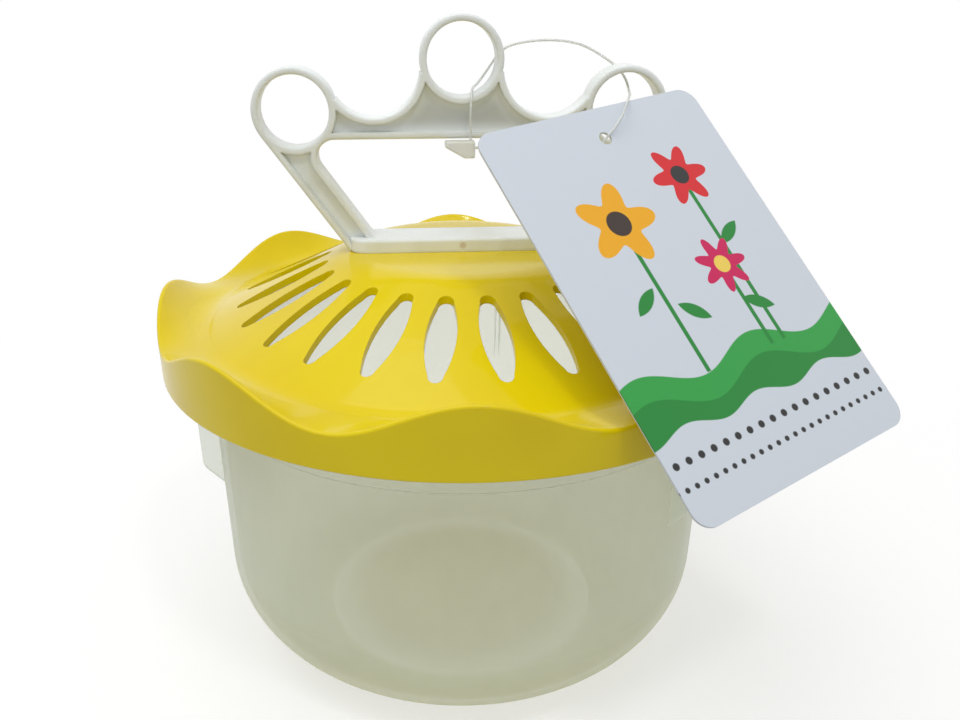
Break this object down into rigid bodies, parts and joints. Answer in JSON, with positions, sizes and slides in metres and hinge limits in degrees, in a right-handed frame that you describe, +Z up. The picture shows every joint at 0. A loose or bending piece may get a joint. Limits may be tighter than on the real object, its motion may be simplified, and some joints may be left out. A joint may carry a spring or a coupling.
{
  "type": "bug catcher jar",
  "caption": "Frosted plastic bowl with a lift-off yellow crown lid, radial air slots, a white carrying handle with finger rings and a blank hang card on a clear loop.",
  "frame": {"origin": "middle of the bowl's flat base", "axes": "+Z up the jar's axis through the middle ring of the handle; +X along the handle, towards the side where the card hangs; the front is -Y"},
  "size_m": [0.1573, 0.1567, 0.1532],
  "materials": {
    "frosted_plastic": "natural translucent moulding, frosted",
    "yellow_plastic": "glossy moulding",
    "white_plastic": "milky white moulding, satin gloss",
    "coated_card": "smooth coated card",
    "clear_filament": "clear drawn filament"
  },
  "bodies": {
    "jar": {"bowl": "frosted_plastic"},
    "cover": {"lid": "yellow_plastic", "handle": "white_plastic", "tag_loop": "clear_filament", "tag_lock": "clear_filament"},
    "tag": {"tag_card": "coated_card"}
  },
  "joints": [
    {"name": "lid_lift", "type": "slide", "parent": "jar", "child": "cover", "axis": [0, 0, 1], "range_m": [0, 0.12]},
    {"name": "tag_swing", "type": "hinge", "parent": "cover", "child": "tag", "pos_m": [0.02785, -0.0244, 0.12944], "axis": [0.2807, -0.6395, 0.7157], "range_deg": [-30, 0]}
  ]
}
